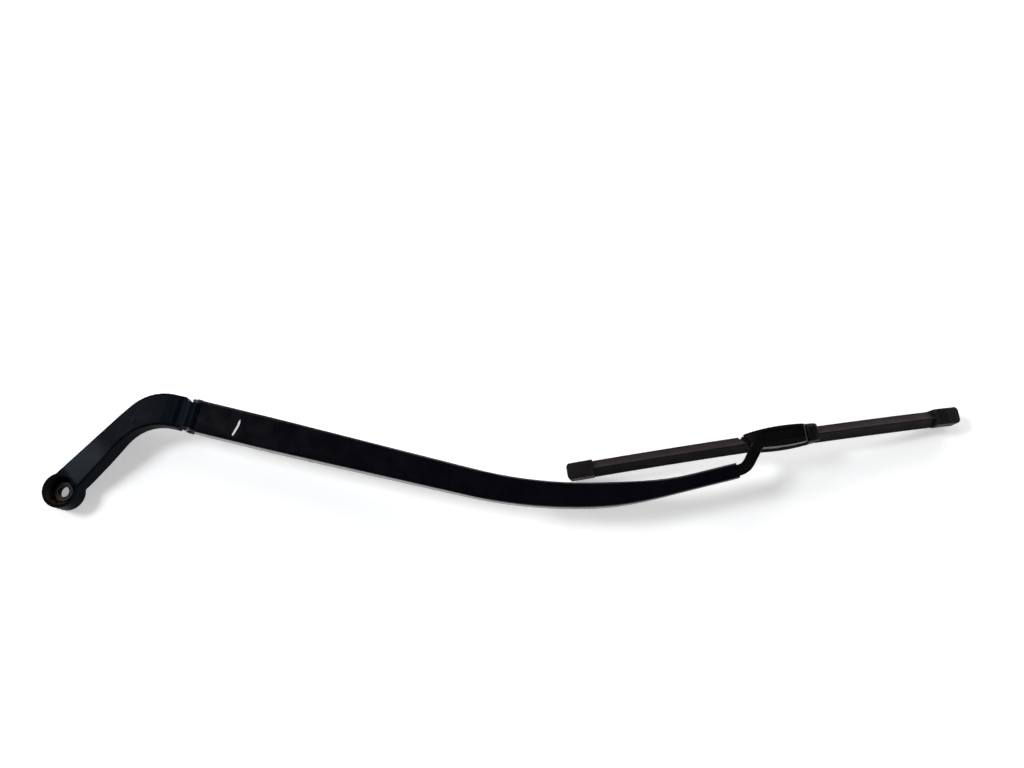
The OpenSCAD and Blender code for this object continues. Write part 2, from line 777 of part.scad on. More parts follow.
// Adapter between the rod and the base
bar_low = hinge_z + rod_top - rod_t;
bar_high = hinge_z + rod_top;
bar_end = tail_l - blade_reach;
button_low = bar_low - 2.6;
peg_u = bar_end - latch_back;
pad_u = bar_end + slide_gap * 2;
pad_low = button_low + 1.2;
peg_back = 2.2;
peg_arm_w = 5;
adapter_right = pad_u + pad_l + slide_gap + 1.2;
block_gap = 2;
// How far the adapter reaches to the far side and to the near side
function far_half(u) = plan_half(u) - 0.2;
function near_half(u) = plan_half(u) - ledge_w;
// Outline of the bar's tail with a gap round it, from the blade's middle
bar_room = rod_w / 2 + 0.15;
bend_at = [-blade_reach + second_bend_r * tan(second_turn / 2), bar_side - second_bend_r];
function bar_side_point(r, a, on) = bend_at + r * left_of(a) + on * along(a);
module bar_trough() {
  turns = [for (i = [0:6]) second_turn * (1 - i / 6)];
  polygon(concat(
    [bar_side_point(second_bend_r + bar_room, second_turn, -cross_l)],
    [for (a = turns) bar_side_point(second_bend_r + bar_room, a, 0)],
    [[bar_end + slide_gap, bar_side + bar_room], [bar_end + slide_gap, bar_side - bar_room]],
    [for (i = [6:-1:0]) bar_side_point(second_bend_r - bar_room, turns[i], 0)],
    [bar_side_point(second_bend_r - bar_room, second_turn, -cross_l)]
  ));
}
module adapter_body() {
  under = blade_sag + base_top + 0.9;
  rise = tan(tilt_max + 1);
  reach_l = pivot_u + adapter_left;
  reach_r = adapter_right - pivot_u;
  top = bar_high + 0.7;
  floor_low = pivot_z + pivot_d / 2 + 1.3 + 0.4;
  // The left end slants along the bar's crossing stretch
  slant = [-adapter_left, 2 - adapter_left, 5 - adapter_left, 8 - adapter_left];
  span = [for (u = [11 - adapter_left:5:adapter_right - 3]) u];
  color([0.04, 0.04, 0.045])
    in_blade()
      difference() {
        intersection() {
          side_plate(-base_w, base_w)
            polygon([
              [-adapter_left, under + reach_l * rise], [pivot_u - 2.5, under + 2.5 * rise],
              [pivot_u + 2.5, under + 2.5 * rise], [adapter_right, under + reach_r * rise],
              [adapter_right, top - 1.4], [adapter_right - 1.4, top - 0.3], [adapter_right - 5, top],
              [-blade_reach, top - 0.3], [6 - adapter_left, top - 1.1], [-adapter_left, top - 2.7]
            ]);
          linear_extrude(3 * hinge_z)
            polygon(concat(
              [for (u = slant) [u, far_half(u)]],
              [for (u = span) [u, far_half(u)]],
              [[adapter_right, far_half(adapter_right)], [adapter_right, -near_half(adapter_right)]],
              [for (i = [len(span) - 1:-1:0]) [span[i], -near_half(span[i])]],
              [[9 - adapter_left, 1 - near_half(9 - adapter_left)], [6.5 - adapter_left, -3]]
            ));
        }
        // Trough that the bar lies in
        translate([0, 0, bar_low - seat_gap]) linear_extrude(20) bar_trough();
        // Room for the base's lug
        translate([pivot_u - 6.5, -lug_w / 2 - slide_gap, 0])
          cube([12.5, lug_w + 2 * slide_gap, floor_low]);
        translate([pivot_u, 0, pivot_z]) cross_pin(pivot_d / 2 + running_gap, -base_w, base_w);
        // Room for the button, its arm and its travel
        translate([pad_u - slide_gap, bar_side - pad_w / 2 - slide_gap, pad_low - button_travel - slide_gap])
          cube([pad_l + 2 * slide_gap, pad_w + 2 * slide_gap, 30]);
        translate([
          peg_u - peg_back - slide_gap, bar_side - peg_arm_w / 2 - slide_gap,
          button_low - button_travel - slide_gap
        ])
          cube([
            pad_u - peg_u + peg_back + 2 * slide_gap, peg_arm_w + 2 * slide_gap, 30
          ]);
      }
}
module release_button() {
  peg_up = button_travel - 0.2;
  color([0.03, 0.03, 0.03])
    in_blade() translate([0, bar_side, 0]) {
      difference() {
        translate([pad_u, -pad_w / 2, pad_low])
          cube([pad_l, pad_w, bar_high - pad_low - 0.6]);
        for (i = [0:1])
          translate([pad_u + 0.6 + 1.2 * i, -pad_w, bar_high - 1]) cube([0.6, 2 * pad_w, 2]);
      }
      translate([peg_u - peg_back, -peg_arm_w / 2, button_low])
        cube([pad_u - peg_u + peg_back + merge, peg_arm_w, bar_low - button_low - 0.3]);
      translate([peg_u, 0, button_low + merge])
        cylinder(d = latch_d - 2 * slide_gap, h = bar_low - button_low + peg_up);
    }
}

mounting_head();
hinge_bush_near();
hinge_bush_far();
hinge_pin();
spring_front_pin();
retainer();
spring_rear_pin();
tension_spring();
arm_rod();
adapter_body();
release_button();
blade_base();
blade_pivot_pin();
rail_near();
rail_far();
wiper_rubber();
spoiler_inner();
spoiler_outer();
end_cap_inner();
end_cap_outer();
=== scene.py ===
import json
import math

import bmesh
import bpy
from mathutils import Matrix, Vector
from mathutils.bvhtree import BVHTree
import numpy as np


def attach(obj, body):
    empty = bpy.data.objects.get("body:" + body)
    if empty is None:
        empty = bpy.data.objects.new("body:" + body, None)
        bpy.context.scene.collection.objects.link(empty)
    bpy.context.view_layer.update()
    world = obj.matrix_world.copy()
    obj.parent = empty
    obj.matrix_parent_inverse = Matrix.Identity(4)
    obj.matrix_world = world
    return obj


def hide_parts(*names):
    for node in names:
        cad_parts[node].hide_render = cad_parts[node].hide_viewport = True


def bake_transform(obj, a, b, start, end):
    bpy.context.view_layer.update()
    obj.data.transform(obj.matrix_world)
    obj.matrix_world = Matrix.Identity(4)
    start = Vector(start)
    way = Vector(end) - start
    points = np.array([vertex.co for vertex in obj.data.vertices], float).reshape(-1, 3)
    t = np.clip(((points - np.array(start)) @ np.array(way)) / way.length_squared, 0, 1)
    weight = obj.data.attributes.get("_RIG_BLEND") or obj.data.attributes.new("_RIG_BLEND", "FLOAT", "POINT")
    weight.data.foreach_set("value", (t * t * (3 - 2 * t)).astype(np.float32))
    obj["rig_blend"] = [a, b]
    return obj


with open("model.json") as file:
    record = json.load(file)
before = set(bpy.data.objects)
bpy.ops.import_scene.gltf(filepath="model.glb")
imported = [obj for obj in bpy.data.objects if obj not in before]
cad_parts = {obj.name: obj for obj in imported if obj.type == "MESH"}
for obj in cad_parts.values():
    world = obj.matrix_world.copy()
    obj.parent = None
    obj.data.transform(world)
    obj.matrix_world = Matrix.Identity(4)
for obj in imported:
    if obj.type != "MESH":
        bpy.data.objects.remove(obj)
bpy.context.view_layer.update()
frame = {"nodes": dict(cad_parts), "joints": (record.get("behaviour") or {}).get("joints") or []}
print("frame loaded with", len(frame["nodes"]), "nodes")

joints = {joint["name"]: joint for joint in frame["joints"]}
mm = 0.001
up = Vector((0, 0, 1))

# The two places that the work starts from: the arm's hinge pin and the blade's pivot
hingeAt = Vector(joints["arm_fold"]["pos_m"])
armAcross = -Vector(joints["arm_fold"]["axis"]).normalized()
armAlong = armAcross.cross(up)
pivotAt = Vector(joints["blade_tilt"]["pos_m"])
bladeAcross = Vector(joints["blade_tilt"]["axis"]).normalized()
bladeAlong = bladeAcross.cross(up)


def frameAt(place, along, across):
    return Matrix.Translation(place) @ Matrix((along, across, up)).transposed().to_4x4()


armFrame = frameAt(hingeAt, armAlong, armAcross)
bladeFrame = frameAt(pivotAt, bladeAlong, bladeAcross)


def addNode(tree, kind, **settings):
    node = tree.nodes.new(kind)
    for name, value in settings.items():
        setattr(node, name, value)
    return node


def rangeOf(tree, value, low, high, toLow=0.0, toHigh=1.0):
    mapRange = addNode(tree, "ShaderNodeMapRange", interpolation_type="SMOOTHSTEP")
    limits = (("From Min", low), ("From Max", high), ("To Min", toLow), ("To Max", toHigh))
    for name, number in limits:
        mapRange.inputs[name].default_value = number
    tree.links.new(value, mapRange.inputs["Value"])
    return mapRange.outputs["Result"]


def stretched(tree, place, scale):
    mapping = addNode(tree, "ShaderNodeMapping")
    mapping.inputs["Scale"].default_value = scale
    tree.links.new(place, mapping.inputs["Vector"])
    return mapping.outputs["Vector"]


def noiseOf(tree, place, scale, detail, stretch=None):
    if stretch:
        place = stretched(tree, place, stretch)
    noise = addNode(tree, "ShaderNodeTexNoise")
    noise.inputs["Scale"].default_value = scale
    noise.inputs["Detail"].default_value = detail
    tree.links.new(place, noise.inputs["Vector"])
    return noise.outputs["Fac"]


def noiseMask(tree, place, scale, low, high, detail=4.0, stretch=None):
    # A noise turned into a mask: 0 below low, 1 above high
    return rangeOf(tree, noiseOf(tree, place, scale, detail, stretch), low, high)


def maths(tree, operation, a, b):
    node = addNode(tree, "ShaderNodeMath", operation=operation)
    for index, value in enumerate((a, b)):
        if isinstance(value, (int, float)):
            node.inputs[index].default_value = value
        else:
            tree.links.new(value, node.inputs[index])
    return node.outputs["Value"]


def product(tree, *masks):
    result = masks[0]
    for mask in masks[1:]:
        result = maths(tree, "MULTIPLY", result, mask)
    return result


def between(tree, value, low, high):
    above = maths(tree, "GREATER_THAN", value, low)
    return product(tree, above, maths(tree, "LESS_THAN", value, high))


def splitOf(tree, vector):
    split = addNode(tree, "ShaderNodeSeparateXYZ")
    tree.links.new(vector, split.inputs["Vector"])
    return split.outputs


def shareAlong(tree, vector, direction):
    node = addNode(tree, "ShaderNodeVectorMath", operation="DOT_PRODUCT")
    tree.links.new(vector, node.inputs[0])
    node.inputs[1].default_value = direction
    return node.outputs["Value"]


def faceNormal(tree):
    return addNode(tree, "ShaderNodeTexCoord").outputs["Normal"]


def blendColor(tree, mask, first, second):
    node = addNode(tree, "ShaderNodeMix", data_type="RGBA")
    tree.links.new(mask, node.inputs["Factor"])
    for socket, value in ((node.inputs["A"], first), (node.inputs["B"], second)):
        if isinstance(value, tuple):
            socket.default_value = (*value, 1)
        else:
            tree.links.new(value, socket)
    return node.outputs["Result"]


# What all finishes share: where their noises start and end, and how dust and the lighter edges, partly worn
# and partly painted highlight, dull the gloss
patternLook = {
    "mottle": (0.35, 0.65),
    "glossMottle": (0.3, 0.7),
    "glossMottleScale": 2.3,
    "facesUp": (0.2, 1.0),
    "specks": (0.5, 0.72),
    "dustRough": 0.3,
    "rubbed": (0.48, 0.62),
    "wearAndHighlightRough": 0.12,
}


def finish(name, look, extra=None):
    material = bpy.data.materials.new(name)
    material.use_nodes = True
    tree = material.node_tree
    shader = tree.nodes["Principled BSDF"]
    shared = patternLook
    position = addNode(tree, "ShaderNodeTexCoord").outputs["Object"]
    mottle = noiseMask(tree, position, look["mottleScale"], *shared["mottle"])
    color = blendColor(tree, mottle, look["color"], look["shade"])
    glossScale = look["mottleScale"] * shared["glossMottleScale"]
    rough = noiseMask(tree, position, glossScale, *shared["glossMottle"])
    rough = rangeOf(tree, rough, 0, 1, *look["rough"])
    metal = None
    if look.get("dust"):
        settled = rangeOf(tree, splitOf(tree, faceNormal(tree))["Z"], *shared["facesUp"])
        specks = noiseMask(tree, position, look["dustScale"], *shared["specks"], detail=8)
        dust = product(tree, settled, specks, look["dust"])
        color = blendColor(tree, dust, color, look["dustColor"])
        rough = maths(tree, "ADD", rough, product(tree, dust, shared["dustRough"]))
    # Rounded edges are painted lighter: partly worn paint, partly a painted highlight
    if look.get("wearAndHighlight"):
        edge = addNode(tree, "ShaderNodeAttribute", attribute_name="edgeWearAndHighlight")
        rubbed = noiseMask(tree, position, look["wearAndHighlightScale"], *shared["rubbed"], detail=6)
        wornAndHighlit = product(tree, edge.outputs["Fac"], rubbed, look["wearAndHighlight"])
        color = blendColor(tree, wornAndHighlit, color, look["wearAndHighlightColor"])
        rough = maths(tree, "ADD", rough, product(tree, wornAndHighlit, shared["wearAndHighlightRough"]))
    if extra:
        color, rough, metal = extra(tree, position, color, rough)
    tree.links.new(color, shader.inputs["Base Color"])
    tree.links.new(rough, shader.inputs["Roughness"])
    if metal is None:
        shader.inputs["Metallic"].default_value = look.get("metal", 0.0)
    else:
        tree.links.new(metal, shader.inputs["Metallic"])
    shader.inputs["Specular IOR Level"].default_value = look.get("specular", 0.5)
    bump = addNode(tree, "ShaderNodeBump")
    bump.inputs["Strength"].default_value = look["grainStrength"]
    bump.inputs["Distance"].default_value = look["grainDepth"]
    grain = noiseOf(tree, position, look["grainScale"], 6, look.get("brushed"))
    tree.links.new(grain, bump.inputs["Height"])
    tree.links.new(bump.outputs["Normal"], shader.inputs["Normal"])
    return material


# Modelling: a copy of a solid is merged, its edges are rounded and it takes the solid's place
weldDistance = 0.002 * mm
fineDistance = 0.001 * mm
flatAngle = math.radians(0.4)


def mergedCopy(nodeName):
    mesh = bmesh.new()
    mesh.from_mesh(frame["nodes"][nodeName].data)
    bmesh.ops.remove_doubles(mesh, verts=mesh.verts, dist=weldDistance)
    bmesh.ops.dissolve_limit(mesh, angle_limit=flatAngle, verts=mesh.verts, edges=mesh.edges)
    return mesh


def edgesOver(mesh, degrees):
    limit = math.radians(degrees)
    return [edge for edge in mesh.edges if edge.is_manifold and edge.calc_face_angle(0) > limit]


def roundEdges(mesh, edges, width, segments=3):
    # The new faces are marked for the finishes, which paint them lighter along the edges: partly rubbed-off
    # paint, partly painted highlight on the rounded edges
    layers = mesh.loops.layers.float
    wearAndHighlight = layers.get("edgeWearAndHighlight") or layers.new("edgeWearAndHighlight")
    made = bmesh.ops.bevel(mesh, geom=edges, offset=width, offset_type="OFFSET",
                           segments=segments, profile=0.5, affect="EDGES",
                           clamp_overlap=True, material=-1)
    for face in made["faces"]:
        for corner in face.loops:
            corner[wearAndHighlight] = 1.0


def addPiece(name, mesh, material, sharpAngle=40):
    limit = math.radians(sharpAngle)
    for edge in mesh.edges:
        edge.smooth = not (edge.is_manifold and edge.calc_face_angle(0) > limit)
    for face in mesh.faces:
        face.smooth = True
    data = bpy.data.meshes.new(name)
    mesh.to_mesh(data)
    mesh.free()
    piece = bpy.data.objects.new(name, data)
    bpy.context.scene.collection.objects.link(piece)
    data.materials.append(material)
    normals = piece.modifiers.new("even shading", "WEIGHTED_NORMAL")
    normals.keep_sharp = True
    return piece


def dress(name, nodeName, body, material, width, sharp=28, segments=3, reshape=None):
    mesh = mergedCopy(nodeName)
    if reshape:
        reshape(mesh)
    roundEdges(mesh, edgesOver(mesh, sharp), width, segments)
    piece = addPiece(name, mesh, material)
    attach(piece, body)
    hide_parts(nodeName)
    return piece


def topOf(piece, x, y):
    # Height of a piece's top at a place in plan
    overhead = 0.1
    corners = [vert.co for vert in piece.data.vertices]
    tree = BVHTree.FromPolygons(corners, [face.vertices for face in piece.data.polygons])
    hit = tree.ray_cast(Vector((x, y, overhead)), -up)[0]
    return hit.z


# Stage: camera, floor, world and lamps
stageLook = {
    "camera": (0.38112, -0.12334, 0.85197),
    "cameraTilt": 14.5,
    "lens": 35,
    "sensor": 36,
    "floorSize": 12,
    "floorColor": (0.93, 0.93, 0.935),
    "floorRough": 0.9,
    "floorGlow": 0.37,          # near the arm, where the shadow falls
    "whiteFrom": (1.2, 2.4),    # distance at which the floor turns white
    "horizon": 0.8,             # light from low and from straight above
    "zenith": 0.012,
    "lowBand": (0.12, 0.62),    # heights between the two
    "whiteBand": (0.10, 0.30),  # heights at which the backdrop ends
    "lampTarget": (0.38, 0.03, 0),
}


def makeCamera():
    data = bpy.data.cameras.new("camera")
    data.lens = stageLook["lens"]
    data.sensor_width = stageLook["sensor"]
    camera = bpy.data.objects.new("camera", data)
    camera.location = stageLook["camera"]
    camera.rotation_euler = (math.radians(stageLook["cameraTilt"]), 0, 0)
    bpy.context.scene.collection.objects.link(camera)
    bpy.context.scene.camera = camera


def seenDirectly(tree):
    # 1 for what the camera sees, itself or in a mirror or through glass
    paths = addNode(tree, "ShaderNodeLightPath")
    seen = maths(tree, "MAXIMUM", paths.outputs["Is Camera Ray"], paths.outputs["Is Glossy Ray"])
    return maths(tree, "MAXIMUM", seen, paths.outputs["Is Transmission Ray"])


def makeFloor():
    mesh = bmesh.new()
    bmesh.ops.create_grid(mesh, x_segments=1, y_segments=1, size=stageLook["floorSize"] / 2)
    data = bpy.data.meshes.new("floor")
    mesh.to_mesh(data)
    mesh.free()
    floor = bpy.data.objects.new("floor", data)
    bpy.context.scene.collection.objects.link(floor)
    material = bpy.data.materials.new("pale floor")
    material.use_nodes = True
    tree = material.node_tree
    shader = tree.nodes["Principled BSDF"]
    shader.inputs["Base Color"].default_value = (*stageLook["floorColor"], 1)
    shader.inputs["Roughness"].default_value = stageLook["floorRough"]
    shader.inputs["Specular IOR Level"].default_value = 0.0
    glow = addNode(tree, "ShaderNodeEmission")
    both = addNode(tree, "ShaderNodeAddShader")
    # Far from the arm the floor turns as white as the backdrop, so no horizon shows
    place = addNode(tree, "ShaderNodeTexCoord")
    distance = addNode(tree, "ShaderNodeVectorMath", operation="LENGTH")
    tree.links.new(place.outputs["Object"], distance.inputs[0])
    level = rangeOf(tree, distance.outputs["Value"], *stageLook["whiteFrom"],
                    stageLook["floorGlow"], 1.0)
    share = product(tree, seenDirectly(tree), level)
    tree.links.new(share, glow.inputs["Strength"])
    tree.links.new(shader.outputs["BSDF"], both.inputs[0])
    tree.links.new(glow.outputs["Emission"], both.inputs[1])
    tree.links.new(both.outputs["Shader"], tree.nodes["Material Output"].inputs["Surface"])
    data.materials.append(material)


def makeWorld():
    world = bpy.data.worlds.new("studio")
    bpy.context.scene.world = world
    world.use_nodes = True
    tree = world.node_tree
    background = tree.nodes["Background"]
    height = splitOf(tree, addNode(tree, "ShaderNodeTexCoord").outputs["Generated"])["Z"]
    level = rangeOf(tree, height, *stageLook["lowBand"], stageLook["horizon"],
                    stageLook["zenith"])
    # The pale backdrop stands low all round, and the dark ceiling above it keeps the tops black
    backdrop = rangeOf(tree, height, *stageLook["whiteBand"], 1.0, 0.0)
    strength = maths(tree, "MAXIMUM", level, product(tree, seenDirectly(tree), backdrop))
    # The camera itself sees white up to the top
    paths = addNode(tree, "ShaderNodeLightPath")
    strength = maths(tree, "MAXIMUM", strength, paths.outputs["Is Camera Ray"])
    tree.links.new(strength, background.inputs["Strength"])
    background.inputs["Color"].default_value = (1, 1, 1, 1)


# Each lamp: power, size, direction from the object, distance and colour
lampLook = {
    "key": (145, (1.3, 1.3), (-0.68, 0.20, 0.70), 5.0, (0.97, 0.99, 1)),
    "leftBack": (55, (2.4, 2.2), (-0.42, 0.72, 0.56), 5.0, (1, 1, 1)),
    "back": (95, (3.2, 1.2), (0.30, 0.85, 0.42), 5.0, (1, 1, 1)),
    "right": (65, (1.4, 2.6), (0.90, -0.05, 0.42), 5.0, (1, 1, 1)),
}


def addLamp(name, power, size, direction, distance, color):
    target = Vector(stageLook["lampTarget"])
    data = bpy.data.lights.new(name, "AREA")
    data.energy = power
    data.color = color
    data.shape = "RECTANGLE"
    data.size, data.size_y = size
    lamp = bpy.data.objects.new(name, data)
    lamp.location = target + Vector(direction).normalized() * distance
    lamp.rotation_euler = (target - lamp.location).to_track_quat("-Z", "Y").to_euler()
    bpy.context.scene.collection.objects.link(lamp)


bpy.context.scene.view_settings.view_transform = "Standard"
makeCamera()
makeFloor()
makeWorld()
for lampName, settings in lampLook.items():
    addLamp(lampName, *settings)
print("stage ready")


# Finishes, each with its own marks beside it. The nut pocket has a seat ring rubbed grey by the
# nut, and painted light: its wall towards the lower left is painted a lighter brown, where it faces the
# light
pocketLook = {
    "radius": 12.35 * mm,
    "height": (8.0 * mm, 17.6 * mm),
    "wallColor": (0.020, 0.013, 0.012),
    "wallShare": 0.8,
    "rough": 0.55,
    "seatColor": (0.034, 0.035, 0.032),
    "seatRadius": (4.6 * mm, 8.1 * mm),
    "seatHeight": (9.7 * mm, 10.2 * mm),
    "seatSpots": (500, 0.3, 0.55),
    "seatMetal": 0.3,
    # Painted light on the lower left of the pocket wall
    "litWallColor": (0.10, 0.062, 0.016),
    "litWallTowards": (-0.62, -0.78, 0),
    "litWallReach": (4 * mm, 10.5 * mm),
    "litWallHeight": (8.4 * mm, 14 * mm, 1.0, 0.15),
    "litWallSpots": (330, 0.42, 0.6),
}


def pocketWearAndPaintedLight(tree, position, color, rough):
    look = pocketLook
    x, y, z = splitOf(tree, position)
    radius = maths(tree, "SQRT", maths(tree, "ADD", product(tree, x, x), product(tree, y, y)), 0)
    inPocket = product(tree, maths(tree, "LESS_THAN", radius, look["radius"]),
                       between(tree, z, *look["height"]))
    # Painted light: the pocket wall towards the lower left is painted lighter brown, fading towards the rim
    reach = rangeOf(tree, shareAlong(tree, position, look["litWallTowards"]), *look["litWallReach"])
    litWall = product(tree, inPocket, reach, noiseMask(tree, position, *look["litWallSpots"], detail=7),
                   rangeOf(tree, z, *look["litWallHeight"]))
    color = blendColor(tree, product(tree, inPocket, look["wallShare"]), color, look["wallColor"])
    color = blendColor(tree, litWall, color, look["litWallColor"])
    rubbed = product(tree, between(tree, radius, *look["seatRadius"]),
                     between(tree, z, *look["seatHeight"]),
                     noiseMask(tree, position, *look["seatSpots"]))
    color = blendColor(tree, rubbed, color, look["seatColor"])
    rough = maths(tree, "MAXIMUM", rough, product(tree, inPocket, look["rough"]))
    return color, rough, product(tree, rubbed, look["seatMetal"])


castLook = {
    "color": (0.0018, 0.0029, 0.0055),
    "shade": (0.0029, 0.0042, 0.0072),
    "mottleScale": 60,
    "rough": (0.26, 0.32),
    "specular": 0.006,
    "grainScale": 2600,
    "grainStrength": 0.3,
    "grainDepth": 0.012 * mm,
    "dust": 0.02,
    "dustScale": 420,
    "dustColor": (0.06, 0.06, 0.062),
    "wearAndHighlight": 0.4,
    "wearAndHighlightScale": 900,
    "wearAndHighlightColor": (0.07, 0.073, 0.078),
    "paintedLightFaces": (0.75, 0.9),
    # Painted highlight on the slope that rises from the boss
    "slopeHighlightColor": (0.0180, 0.0225, 0.0275),
    "slopeTowards": (0.74, 0.67, 0.0),
    "slopeFrom": (0.012, 0.016),
    "slopeTo": (0.040, 0.056),
    # Painted reflection on the ramp just before the hinge
    "rampReflectionColor": (0.0100, 0.0122, 0.0160),
    "rampFrom": (-13.0 * mm, -11.0 * mm),
    "rampTo": (-7.0 * mm, -5.5 * mm),
}


def castMarksAndPaintedLight(tree, position, color, rough):
    look = castLook
    onTop = rangeOf(tree, splitOf(tree, faceNormal(tree))["Z"], *look["paintedLightFaces"])
    # Painted highlight: the slope that rises from the boss is painted lighter and bluer, standing in for the
    # reflection of the light from the left
    along = shareAlong(tree, position, look["slopeTowards"])
    slopeHighlight = product(tree, rangeOf(tree, along, *look["slopeFrom"]),
                     rangeOf(tree, along, *look["slopeTo"], 1.0, 0.0), onTop)
    color = blendColor(tree, slopeHighlight, color, look["slopeHighlightColor"])
    # Painted reflection: a lighter strip crosses the casting just before its hinge, where the ramp faces the
    # light from the right
    fromHinge = addNode(tree, "ShaderNodeVectorMath", operation="SUBTRACT")
    tree.links.new(position, fromHinge.inputs[0])
    fromHinge.inputs[1].default_value = hingeAt
    along = shareAlong(tree, fromHinge.outputs["Vector"], armAlong)
    rampReflection = product(tree, rangeOf(tree, along, *look["rampFrom"]),
                    rangeOf(tree, along, *look["rampTo"], 1.0, 0.0), onTop)
    color = blendColor(tree, rampReflection, color, look["rampReflectionColor"])
    return pocketWearAndPaintedLight(tree, position, color, rough)


sheetLook = {
    "color": (0.0018, 0.0015, 0.0034),
    "shade": (0.0027, 0.0022, 0.0043),
    "mottleScale": 40,
    "rough": (0.19, 0.25),
    "specular": 0.22,
    "grainScale": 1500,
    "grainStrength": 0.08,
    "grainDepth": 0.01 * mm,
    "dust": 0.005,
    "dustScale": 900,
    "dustColor": (0.1, 0.1, 0.1),
    "wearAndHighlight": 0.12,
    "wearAndHighlightScale": 500,
    "wearAndHighlightColor": (0.05, 0.05, 0.055),
}
rodLook = {
    **sheetLook,
    "color": (0.0028, 0.0023, 0.0026),
    "shade": (0.0036, 0.0030, 0.0032),
    "rough": (0.22, 0.30),
    "wearAndHighlight": 0.06,
}
adapterLook = {
    **sheetLook,
    "color": (0.0026, 0.0020, 0.0021),
    "shade": (0.0036, 0.0029, 0.0029),
    "rough": (0.28, 0.35),
    "specular": 0.2,
    "wearAndHighlight": 0.05,
    "grainScale": 3200,
    "grainStrength": 0.2,
    "dust": 0.02,
}
baseLook = {
    **adapterLook,
    "color": (0.0046, 0.0038, 0.0026),
    "shade": (0.0080, 0.0070, 0.0052),
    "rough": (0.34, 0.42),
    "specular": 0.05,
    "wearAndHighlight": 0.04,
    "dust": 0.1,
    "dustColor": (0.04, 0.036, 0.028),
}
spoilerLook = {
    "color": (0.0052, 0.0038, 0.0040),
    "shade": (0.0072, 0.0055, 0.0056),
    "mottleScale": 35,
    "rough": (0.46, 0.6),
    "specular": 0.05,
    "grainScale": 2000,
    "grainStrength": 0.25,
    "grainDepth": 0.03 * mm,
    "dust": 0.08,
    "dustScale": 500,
    "dustColor": (0.05, 0.041, 0.04),
    "wearAndHighlight": 0.15,
    "wearAndHighlightScale": 700,
    "wearAndHighlightColor": (0.06, 0.052, 0.05),
    # Painted light on the spoiler's far slope
    "farSlopeLitColor": (0.0150, 0.0104, 0.0106),
    "farSlopeFaces": (0.0, 0.3),
    "farSlopeSpots": (120, 0.3, 0.7),
    "farSlopeStretch": (0.3, 1, 1),
    "farSlopeShare": (0.75, 1.0),
}


# Painted light: the spoiler's far slope, which faces the light from behind, is painted lighter, in uneven
# patches
def farSlopePaintedLight(tree, position, color, rough):
    look = spoilerLook
    farSlope = rangeOf(tree, shareAlong(tree, faceNormal(tree), bladeAcross), *look["farSlopeFaces"])
    uneven = noiseMask(tree, position, *look["farSlopeSpots"], stretch=look["farSlopeStretch"])
    uneven = rangeOf(tree, uneven, 0, 1, *look["farSlopeShare"])
    color = blendColor(tree, product(tree, farSlope, uneven), color, look["farSlopeLitColor"])
    return color, rough, None


capLook = {
    **spoilerLook,
    "color": (0.0100, 0.0082, 0.0088),
    "shade": (0.0145, 0.0118, 0.0124),
    "rough": (0.42, 0.52),
    "mottleScale": 90,
}
squeegeeLook = {
    **spoilerLook,
    "color": (0.0050, 0.0043, 0.0042),
    "shade": (0.0070, 0.0062, 0.006),
    "dust": 0.04,
}
steelLook = {
    "color": (0.42, 0.42, 0.43),
    "shade": (0.34, 0.34, 0.35),
    "mottleScale": 200,
    "rough": (0.25, 0.4),
    "metal": 1.0,
    "grainScale": 900,
    "brushed": (1, 1, 14),
    "grainStrength": 0.2,
    "grainDepth": 0.02 * mm,
}
springLook = {
    **steelLook,
    "color": (0.16, 0.155, 0.15),
    "shade": (0.09, 0.085, 0.08),
    "rough": (0.3, 0.5),
}
greasedLook = {
    **steelLook,
    "color": (0.030, 0.028, 0.025),
    "shade": (0.018, 0.017, 0.016),
    "rough": (0.35, 0.5),
    "metal": 0.6,
}
markLook = {
    "color": (0.72, 0.72, 0.72),
    "shade": (0.62, 0.62, 0.63),
    "mottleScale": 500,
    "rough": (0.5, 0.6),
    "grainScale": 2500,
    "grainStrength": 0.3,
    "grainDepth": 0.05 * mm,
}

castPaint = finish("cast paint", castLook, castMarksAndPaintedLight)
sheetPaint = finish("sheet paint", sheetLook)
rodPaint = finish("rod paint", rodLook)
adapterPlastic = finish("adapter plastic", adapterLook)
basePlastic = finish("base plastic", baseLook)
spoilerRubber = finish("spoiler rubber", spoilerLook, farSlopePaintedLight)
capPlastic = finish("cap plastic", capLook)
squeegeeRubber = finish("squeegee rubber", squeegeeLook)
pinSteel = finish("pin steel", steelLook)
springSteel = finish("spring steel", springLook)
greasedMetal = finish("greased metal", greasedLook)
whiteMark = finish("white paint mark", markLook)
print("finishes ready")


# The blade's solids are reshaped at places in millimetres from its pivot: along, across and up
def movedOnBlade(mesh, mover):
    back = bladeFrame.inverted()
    for vert in mesh.verts:
        place = back @ vert.co / mm
        mover(place)
        vert.co = bladeFrame @ (place * mm)


# The spoilers run up to the adapter's slanted end and to the base's block
seamShape = {
    "innerEnd": -36.0,
    "halfWidth": 6.9,
    "slant": 9.0,
    "outerEnd": 34.0,
    "outerReach": 2.9,
}


def reachInner(place):
    if place.x > seamShape["innerEnd"]:
        share = (seamShape["halfWidth"] - place.y) / (2 * seamShape["halfWidth"])
        place.x += seamShape["slant"] * min(max(share, 0), 1)


def reachOuter(place):
    if place.x < seamShape["outerEnd"]:
        place.x -= seamShape["outerReach"]


# The base's block is nearly square: its rounded sides, place by place, move out to one width
blockShape = {
    "start": 20.5,
    "foot": -4.65,
    "side": 7.3,
    "squared": 0.85,
    "farScale": 1.2,
    "sides": ((20.7, 6.9), (21.9, 7.3), (27.1, 6.5), (29.7, 5.4), (31.1, 3.8), (31.7, 3.8)),
    "sideReach": 0.2,
}


